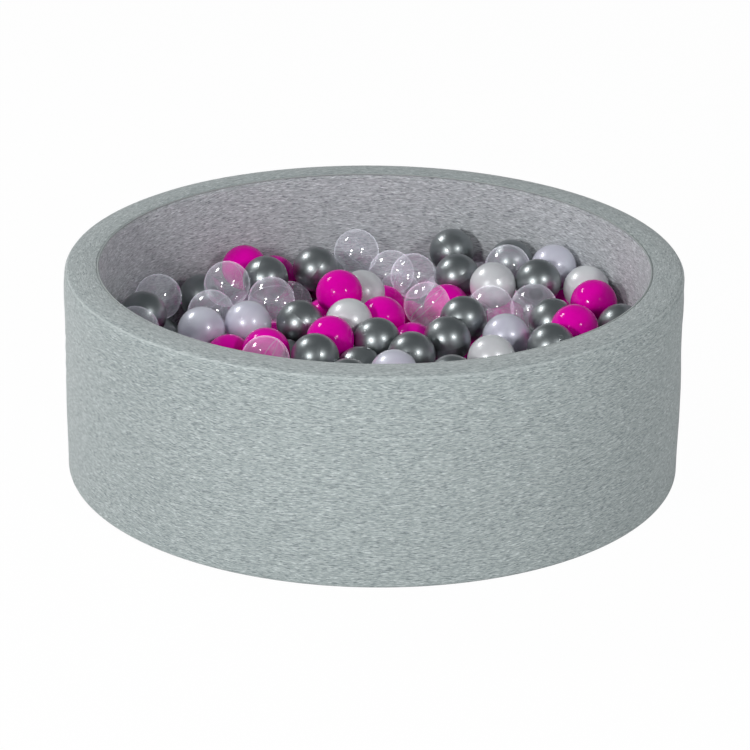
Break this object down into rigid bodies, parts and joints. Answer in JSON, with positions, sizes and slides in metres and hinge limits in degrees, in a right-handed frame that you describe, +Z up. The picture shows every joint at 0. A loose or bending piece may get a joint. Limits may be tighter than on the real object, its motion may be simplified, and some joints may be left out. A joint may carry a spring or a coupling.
{
  "type": "ball pit",
  "caption": "Round free-standing ball pit: a foam ring wall and floor in a sewn jersey cover, filled with hollow play balls; top balls lift out and the rear zip slider runs.",
  "frame": {"origin": "middle of the underside, on the surface that the pit stands on", "axes": "+Z up, -Y towards the front as pictured, +X to the right seen from the front"},
  "size_m": [0.9, 0.9, 0.31],
  "materials": {
    "foam": "matte",
    "heather_jersey": "matte",
    "inner_jersey": "matte",
    "seam_thread": "matte",
    "underside_weave": "matte",
    "zip_tape": "matte",
    "zip_chain": "satin",
    "zip_metal": "satin",
    "buried_balls": "satin",
    "graphite": "satin",
    "magenta": "gloss",
    "pearl": "gloss",
    "lilac": "gloss",
    "clear": "gloss"
  },
  "bodies": {
    "tub": {"wall_foam_ring": "foam", "base_foam_pad": "foam", "outer_cover": "heather_jersey", "inner_cover": "inner_jersey", "floor_cover": "inner_jersey", "rim_seam": "seam_thread", "floor_seam": "seam_thread", "base_seam": "seam_thread", "underside_panel": "underside_weave", "zip_tape_upper": "zip_tape", "zip_tape_lower": "zip_tape", "zip_chain": "zip_chain", "zip_stop_open_end": "zip_metal", "zip_stop_closed_end": "zip_metal", "ball_bed": "buried_balls", "ball_graphite_02": "graphite", "ball_graphite_04": "graphite", "ball_graphite_05": "graphite", "ball_graphite_06": "graphite", "ball_graphite_07": "graphite", "ball_graphite_09": "graphite", "ball_graphite_12": "graphite", "ball_graphite_13": "graphite", "ball_graphite_14": "graphite", "ball_graphite_16": "graphite", "ball_magenta_01": "magenta", "ball_magenta_04": "magenta", "ball_magenta_06": "magenta", "ball_magenta_07": "magenta", "ball_pearl_01": "pearl", "ball_pearl_02": "pearl", "ball_pearl_03": "pearl", "ball_clear_08": "clear", "ball_clear_09": "clear"},
    "zip_slider": {"zip_slider": "zip_metal"},
    "zip_pull": {"zip_pull": "zip_metal"},
    "ball_graphite_01": {"ball_graphite_01": "graphite"},
    "ball_graphite_03": {"ball_graphite_03": "graphite"},
    "ball_graphite_08": {"ball_graphite_08": "graphite"},
    "ball_graphite_10": {"ball_graphite_10": "graphite"},
    "ball_graphite_11": {"ball_graphite_11": "graphite"},
    "ball_graphite_15": {"ball_graphite_15": "graphite"},
    "ball_magenta_02": {"ball_magenta_02": "magenta"},
    "ball_magenta_03": {"ball_magenta_03": "magenta"},
    "ball_magenta_05": {"ball_magenta_05": "magenta"},
    "ball_pearl_04": {"ball_pearl_04": "pearl"},
    "ball_pearl_05": {"ball_pearl_05": "pearl"},
    "ball_lilac_01": {"ball_lilac_01": "lilac"},
    "ball_lilac_02": {"ball_lilac_02": "lilac"},
    "ball_lilac_03": {"ball_lilac_03": "lilac"},
    "ball_lilac_04": {"ball_lilac_04": "lilac"},
    "ball_clear_01": {"ball_clear_01": "clear"},
    "ball_clear_02": {"ball_clear_02": "clear"},
    "ball_clear_03": {"ball_clear_03": "clear"},
    "ball_clear_04": {"ball_clear_04": "clear"},
    "ball_clear_05": {"ball_clear_05": "clear"},
    "ball_clear_06": {"ball_clear_06": "clear"},
    "ball_clear_07": {"ball_clear_07": "clear"},
    "ball_clear_10": {"ball_clear_10": "clear"},
    "ball_clear_11": {"ball_clear_11": "clear"}
  },
  "joints": [
    {"name": "zip_run", "type": "hinge", "parent": "tub", "child": "zip_slider", "pos_m": [0, 0, 0.026], "axis": [0, 0, -1], "range_deg": [0, 153]},
    {"name": "pull_swing", "type": "hinge", "parent": "zip_slider", "child": "zip_pull", "pos_m": [-0.44195, 0.09921, 0.026], "axis": [0.219, 0.9757, 0], "range_deg": [0, 170]},
    {"name": "lift_graphite_01", "type": "slide", "parent": "tub", "child": "ball_graphite_01", "axis": [0, 0, 1], "range_m": [0, 0.2]},
    {"name": "lift_graphite_03", "type": "slide", "parent": "tub", "child": "ball_graphite_03", "axis": [0, 0, 1], "range_m": [0, 0.2]},
    {"name": "lift_graphite_08", "type": "slide", "parent": "tub", "child": "ball_graphite_08", "axis": [0, 0, 1], "range_m": [0, 0.2]},
    {"name": "lift_graphite_10", "type": "slide", "parent": "tub", "child": "ball_graphite_10", "axis": [0, 0, 1], "range_m": [0, 0.2]},
    {"name": "lift_graphite_11", "type": "slide", "parent": "tub", "child": "ball_graphite_11", "axis": [0, 0, 1], "range_m": [0, 0.2]},
    {"name": "lift_graphite_15", "type": "slide", "parent": "tub", "child": "ball_graphite_15", "axis": [0, 0, 1], "range_m": [0, 0.2]},
    {"name": "lift_magenta_02", "type": "slide", "parent": "tub", "child": "ball_magenta_02", "axis": [0, 0, 1], "range_m": [0, 0.2]},
    {"name": "lift_magenta_03", "type": "slide", "parent": "tub", "child": "ball_magenta_03", "axis": [0, 0, 1], "range_m": [0, 0.2]},
    {"name": "lift_magenta_05", "type": "slide", "parent": "tub", "child": "ball_magenta_05", "axis": [0, 0, 1], "range_m": [0, 0.2]},
    {"name": "lift_pearl_04", "type": "slide", "parent": "tub", "child": "ball_pearl_04", "axis": [0, 0, 1], "range_m": [0, 0.2]},
    {"name": "lift_pearl_05", "type": "slide", "parent": "tub", "child": "ball_pearl_05", "axis": [0, 0, 1], "range_m": [0, 0.2]},
    {"name": "lift_lilac_01", "type": "slide", "parent": "tub", "child": "ball_lilac_01", "axis": [0, 0, 1], "range_m": [0, 0.2]},
    {"name": "lift_lilac_02", "type": "slide", "parent": "tub", "child": "ball_lilac_02", "axis": [0, 0, 1], "range_m": [0, 0.2]},
    {"name": "lift_lilac_03", "type": "slide", "parent": "tub", "child": "ball_lilac_03", "axis": [0, 0, 1], "range_m": [0, 0.2]},
    {"name": "lift_lilac_04", "type": "slide", "parent": "tub", "child": "ball_lilac_04", "axis": [0, 0, 1], "range_m": [0, 0.2]},
    {"name": "lift_clear_01", "type": "slide", "parent": "tub", "child": "ball_clear_01", "axis": [0, 0, 1], "range_m": [0, 0.2]},
    {"name": "lift_clear_02", "type": "slide", "parent": "tub", "child": "ball_clear_02", "axis": [0, 0, 1], "range_m": [0, 0.2]},
    {"name": "lift_clear_03", "type": "slide", "parent": "tub", "child": "ball_clear_03", "axis": [0, 0, 1], "range_m": [0, 0.2]},
    {"name": "lift_clear_04", "type": "slide", "parent": "tub", "child": "ball_clear_04", "axis": [0, 0, 1], "range_m": [0, 0.2]},
    {"name": "lift_clear_05", "type": "slide", "parent": "tub", "child": "ball_clear_05", "axis": [0, 0, 1], "range_m": [0, 0.2]},
    {"name": "lift_clear_06", "type": "slide", "parent": "tub", "child": "ball_clear_06", "axis": [0, 0, 1], "range_m": [0, 0.2]},
    {"name": "lift_clear_07", "type": "slide", "parent": "tub", "child": "ball_clear_07", "axis": [0, 0, 1], "range_m": [0, 0.2]},
    {"name": "lift_clear_10", "type": "slide", "parent": "tub", "child": "ball_clear_10", "axis": [0, 0, 1], "range_m": [0, 0.2]},
    {"name": "lift_clear_11", "type": "slide", "parent": "tub", "child": "ball_clear_11", "axis": [0, 0, 1], "range_m": [0, 0.2]}
  ]
}
